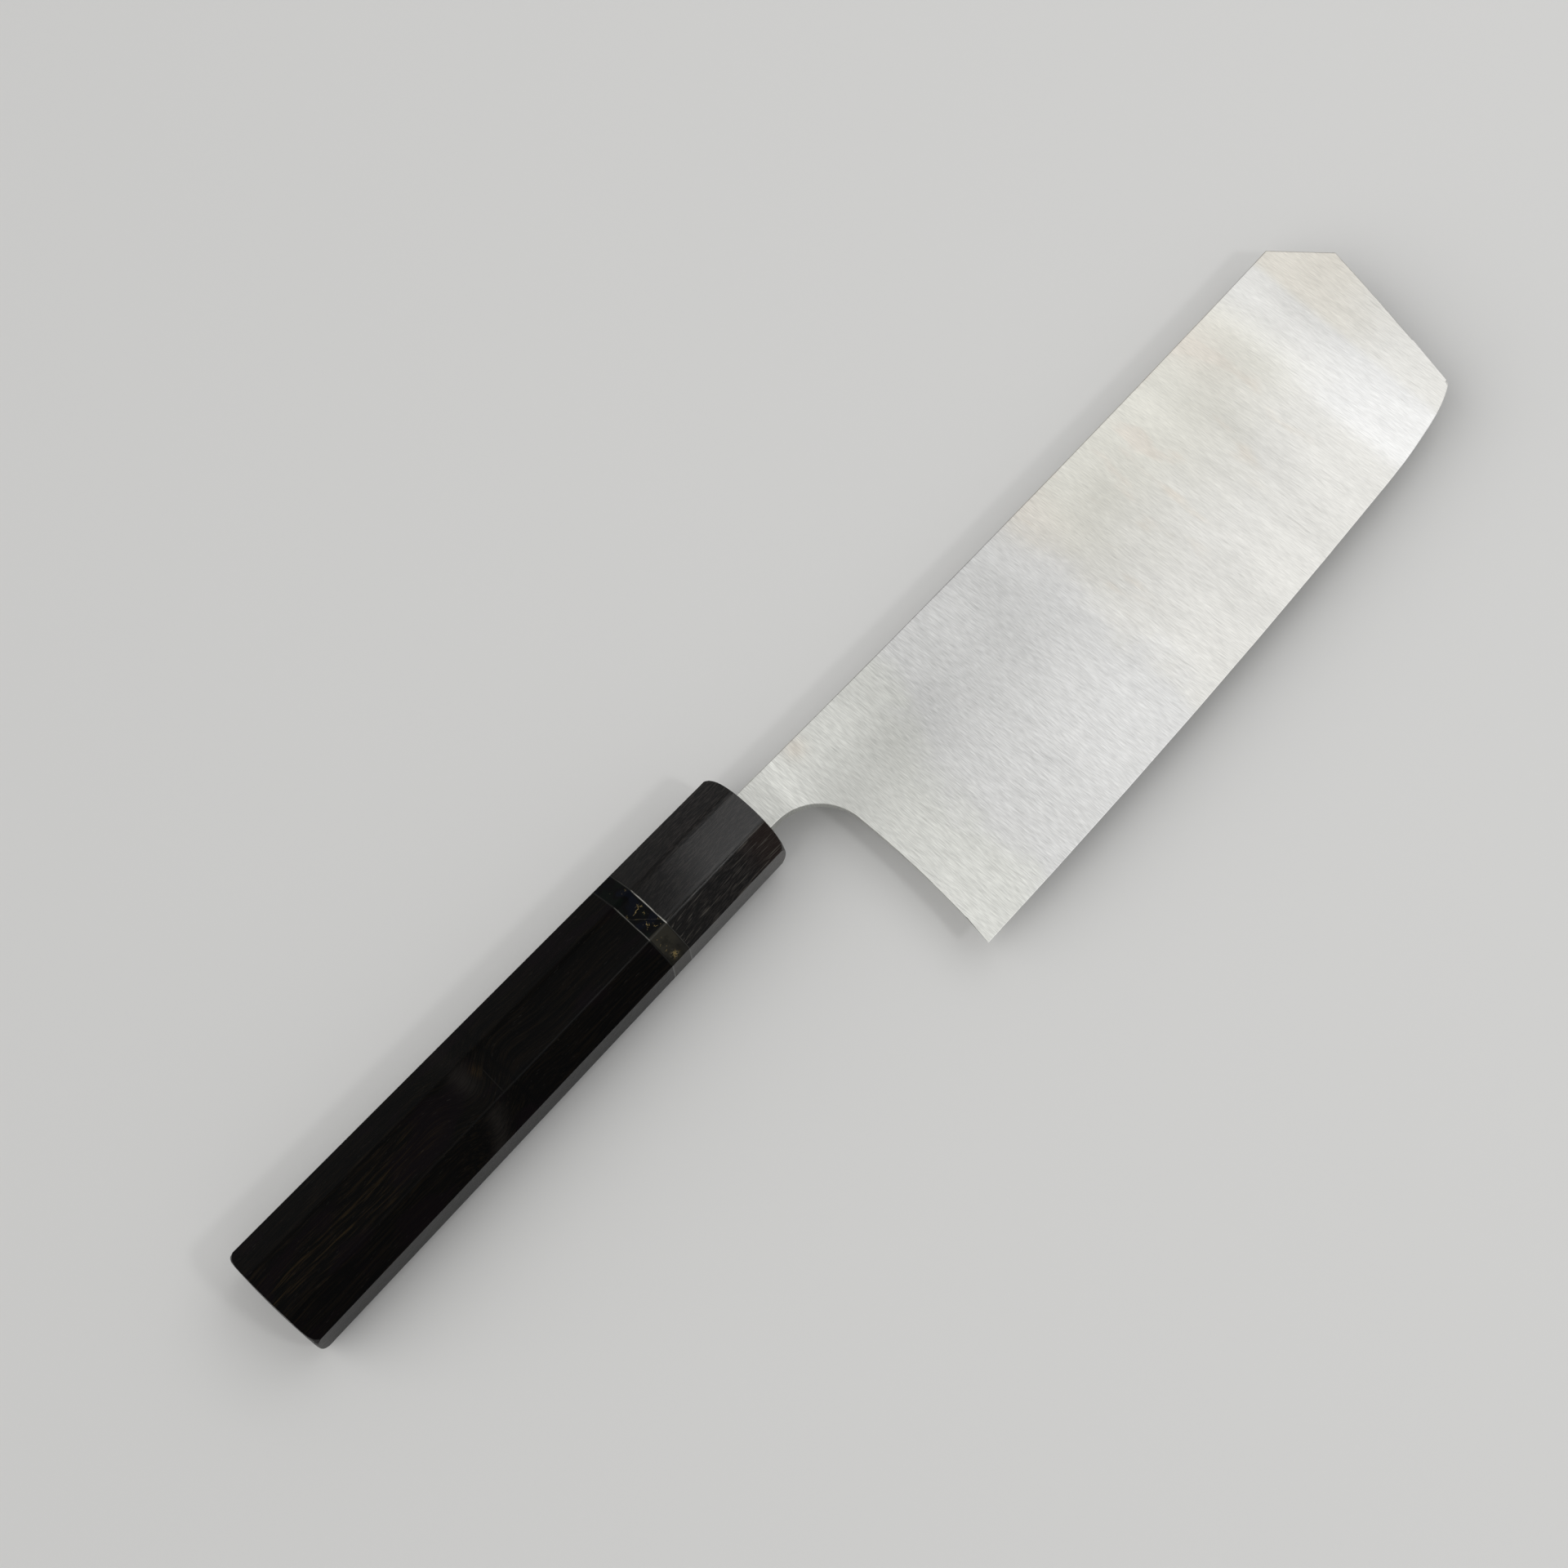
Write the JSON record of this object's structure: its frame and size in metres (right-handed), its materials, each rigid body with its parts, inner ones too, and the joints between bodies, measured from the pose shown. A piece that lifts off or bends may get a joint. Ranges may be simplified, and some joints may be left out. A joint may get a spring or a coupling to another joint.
{
  "type": "nakiri knife",
  "caption": "Straight-edged vegetable knife with a tall flat-ground blade, a clipped end corner and an eight-sided wooden handle with a banded ferrule.",
  "frame": {"origin": "under the middle of the knife's length and depth, on the plane that the handle lies on", "axes": "+X along the handle's axis from butt to blade, +Y in the blade's plane from the edge to the spine, +Z across the blade, up as the knife lies on its side"},
  "size_m": [0.3176, 0.0671, 0.0211],
  "materials": {
    "blade": "satin, fine lines across the blade",
    "ferrule": "oiled ebony, satin",
    "front_liner": "sanded flush with the handle",
    "spacer": "polished black with thin golden and pale veins",
    "rear_liner": "sanded flush with the handle",
    "grip": "oiled ebony with brown streaks, satin",
    "dowel": "plain turned hardwood, unseen",
    "tang_bedding": "set adhesive"
  },
  "bodies": {
    "root": {"blade": "blade", "ferrule": "ferrule", "front_liner": "front_liner", "spacer": "spacer", "rear_liner": "rear_liner", "grip": "grip", "dowel": "dowel", "tang_bedding": "tang_bedding"}
  },
  "joints": []
}
